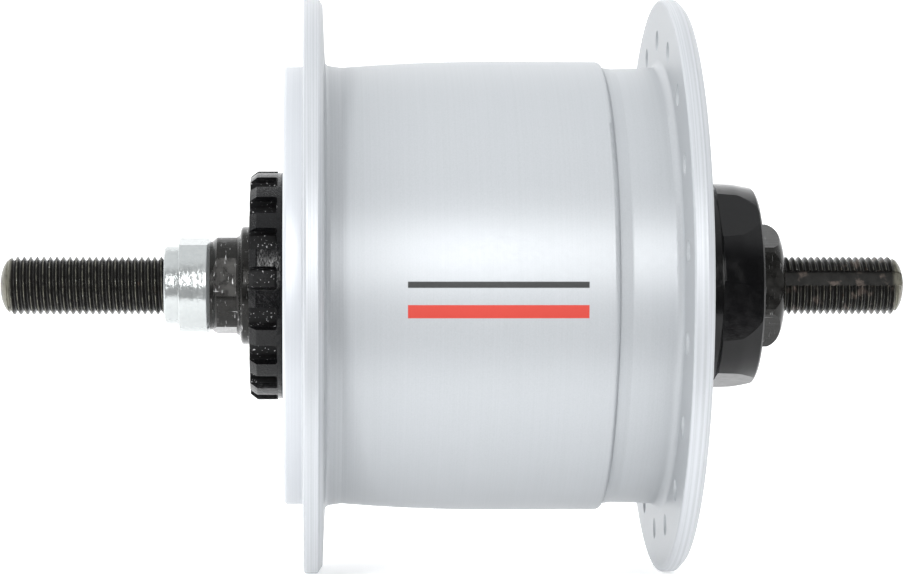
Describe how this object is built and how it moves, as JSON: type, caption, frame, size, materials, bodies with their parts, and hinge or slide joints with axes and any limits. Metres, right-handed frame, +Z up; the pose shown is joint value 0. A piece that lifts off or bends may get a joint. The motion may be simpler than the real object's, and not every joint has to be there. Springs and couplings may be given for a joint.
{
  "type": "bicycle hub dynamo",
  "caption": "Front bicycle hub dynamo with two spoke flanges, a wide drum, a threaded axle with lock nuts, a toothed ring that drives a roller brake, and a six-sided terminal cap.",
  "frame": {"origin": "middle of the axle, on its axis", "axes": "+Y along the axle to the brake side, +X forward, +Z up; the hub spins about Y"},
  "size_m": [0.0886, 0.14, 0.0886],
  "materials": {
    "silver_paint": "satin silver paint with a fine metallic grain",
    "black_gloss_steel": "gloss black",
    "black_cap": "gloss black",
    "black_steel": "black oxide, scratched",
    "zinc_steel": "bright zinc",
    "axle_steel": "black oxide, worn grey at the tips",
    "race_steel": "ground",
    "ball_steel": "polished",
    "cage_steel": "pressed",
    "core_iron": "plain pressed iron",
    "magnet": "sintered ferrite",
    "copper_wire": "enamelled copper",
    "bobbin_plastic": "moulded",
    "insulator": "moulded",
    "contact_brass": "brass",
    "lead_insulation": "thin wire insulation",
    "rubber": "matte"
  },
  "bodies": {
    "axle_assembly": {"axle": "axle_steel", "left_cone": "black_steel", "left_cone_dust_cover": "black_steel", "left_lock_washer": "black_steel", "left_lock_nut": "zinc_steel", "right_cone": "race_steel", "right_lock_washer": "zinc_steel", "right_lock_nut": "black_steel", "terminal_cap": "black_cap", "terminal_sleeve": "zinc_steel", "terminal_block": "insulator", "live_contact": "contact_brass", "earth_contact": "contact_brass", "stator_core": "core_iron", "left_claw_plate": "core_iron", "right_claw_plate": "core_iron", "coil_bobbin": "bobbin_plastic", "coil_winding": "copper_wire", "left_stator_washer": "zinc_steel", "right_stator_washer": "zinc_steel", "left_stator_nut": "zinc_steel", "right_stator_nut": "zinc_steel", "coil_lead": "lead_insulation"},
    "shell": {"hub_shell": "silver_paint", "right_flange": "silver_paint", "shell_seal_ring": "rubber", "brake_serration": "black_gloss_steel", "left_bearing_cup": "race_steel", "right_bearing_cup": "race_steel", "left_seal": "rubber", "right_seal": "rubber", "magnet_back_iron": "core_iron", "magnet_segment_1": "magnet", "magnet_segment_2": "magnet", "magnet_segment_3": "magnet", "magnet_segment_4": "magnet"},
    "left_ball_ring": {"left_balls": "ball_steel", "left_ball_cage": "cage_steel"},
    "right_ball_ring": {"right_balls": "ball_steel", "right_ball_cage": "cage_steel"}
  },
  "joints": [
    {"name": "shell_spin", "type": "hinge", "parent": "axle_assembly", "child": "shell", "pos_m": [0, 0, 0], "axis": [0, 1, 0], "continuous": true},
    {"name": "left_ball_ring_spin", "type": "hinge", "parent": "axle_assembly", "child": "left_ball_ring", "pos_m": [0, 0.0266, 0], "axis": [0, 1, 0], "continuous": true},
    {"name": "right_ball_ring_spin", "type": "hinge", "parent": "axle_assembly", "child": "right_ball_ring", "pos_m": [0, -0.0323, 0], "axis": [0, 1, 0], "continuous": true}
  ],
  "couplings": [
    {"joint": "left_ball_ring_spin", "follows": "shell_spin", "ratio": 0.6027},
    {"joint": "right_ball_ring_spin", "follows": "shell_spin", "ratio": 0.6027}
  ]
}
